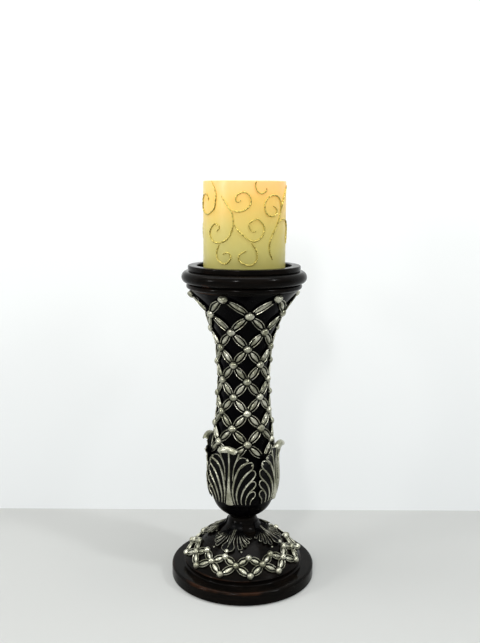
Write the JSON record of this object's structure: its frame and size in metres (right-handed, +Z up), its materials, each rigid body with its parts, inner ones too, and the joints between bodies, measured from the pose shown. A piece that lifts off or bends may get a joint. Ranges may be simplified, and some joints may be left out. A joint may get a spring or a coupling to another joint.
{
  "type": "torchere candle stand",
  "caption": "Turned pedestal candle stand: domed round foot, lattice-dressed column with acanthus bulb, moulded cup holding a flameless pillar candle.",
  "frame": {"origin": "centre of the underside, on the surface that the stand rests on", "axes": "+Z up along the turned axis; -Y towards the front of the pictured view, +X to its right"},
  "size_m": [0.139, 0.139, 0.3819],
  "materials": {
    "felt": "matt pressed felt",
    "dark_stain": "near-black satin lacquer, rubbed reddish brown on its edges",
    "black_gloss": "gloss black cast resin",
    "antique_silver": "cast, warm antique silver with black patina in the grooves",
    "steel": "zinc plated",
    "wax": "smooth cream wax, lit from within",
    "gilt_cord": "gilt relief cord",
    "ivory_plastic": "moulded satin",
    "cell_sleeve": "plain printed sleeve",
    "board_green": "solder mask",
    "lamp_amber": "clear amber epoxy",
    "black_plastic": "moulded satin"
  },
  "bodies": {
    "stand": {"felt_pad": "felt", "base_plinth": "dark_stain", "base_step": "dark_stain", "base_dome": "dark_stain", "neck_spool": "dark_stain", "bulb_body": "black_gloss", "column_core": "black_gloss", "cup_collar": "dark_stain", "candle_cup": "dark_stain", "tie_rod": "steel", "lower_washer": "steel", "lower_nut": "steel", "upper_washer": "steel", "upper_nut": "steel", "column_lattice": "antique_silver", "base_lattice": "antique_silver", "bulb_leaf_1": "antique_silver", "dome_leaf_1": "antique_silver", "bulb_leaf_2": "antique_silver", "dome_leaf_2": "antique_silver", "bulb_leaf_3": "antique_silver", "dome_leaf_3": "antique_silver", "bulb_leaf_4": "antique_silver", "dome_leaf_4": "antique_silver"},
    "candle": {"candle_wax": "wax", "candle_core": "wax", "battery_housing": "ivory_plastic", "roof_contact": "steel", "circuit_board": "board_green", "lamp_stem": "ivory_plastic", "led_lamp": "lamp_amber", "switch_case": "ivory_plastic", "scroll_front_1": "gilt_cord", "scroll_back_1": "gilt_cord", "scroll_front_2": "gilt_cord", "scroll_back_2": "gilt_cord", "scroll_front_3": "gilt_cord", "scroll_back_3": "gilt_cord", "scroll_front_4": "gilt_cord", "scroll_back_4": "gilt_cord", "scroll_front_5": "gilt_cord", "scroll_back_5": "gilt_cord", "scroll_front_6": "gilt_cord", "scroll_back_6": "gilt_cord", "scroll_front_7": "gilt_cord", "scroll_back_7": "gilt_cord", "scroll_front_8": "gilt_cord", "scroll_back_8": "gilt_cord", "scroll_front_9": "gilt_cord", "scroll_back_9": "gilt_cord", "scroll_front_10": "gilt_cord", "scroll_back_10": "gilt_cord", "battery_1": "cell_sleeve", "battery_2": "cell_sleeve", "battery_3": "cell_sleeve"},
    "battery_cover": {"battery_cover": "ivory_plastic", "cover_contact": "steel"},
    "power_switch": {"switch_slider": "black_plastic"}
  },
  "joints": [
    {"name": "candle_lift", "type": "slide", "parent": "stand", "child": "candle", "axis": [0, 0, 1], "range_m": [0, 0.05]},
    {"name": "battery_cover_twist", "type": "hinge", "parent": "candle", "child": "battery_cover", "pos_m": [0, 0, 0.2952], "axis": [0, 0, 1], "range_deg": [0, 30]},
    {"name": "power_switch_slide", "type": "slide", "parent": "candle", "child": "power_switch", "axis": [1, 0, 0], "range_m": [0, 0.0035]}
  ]
}
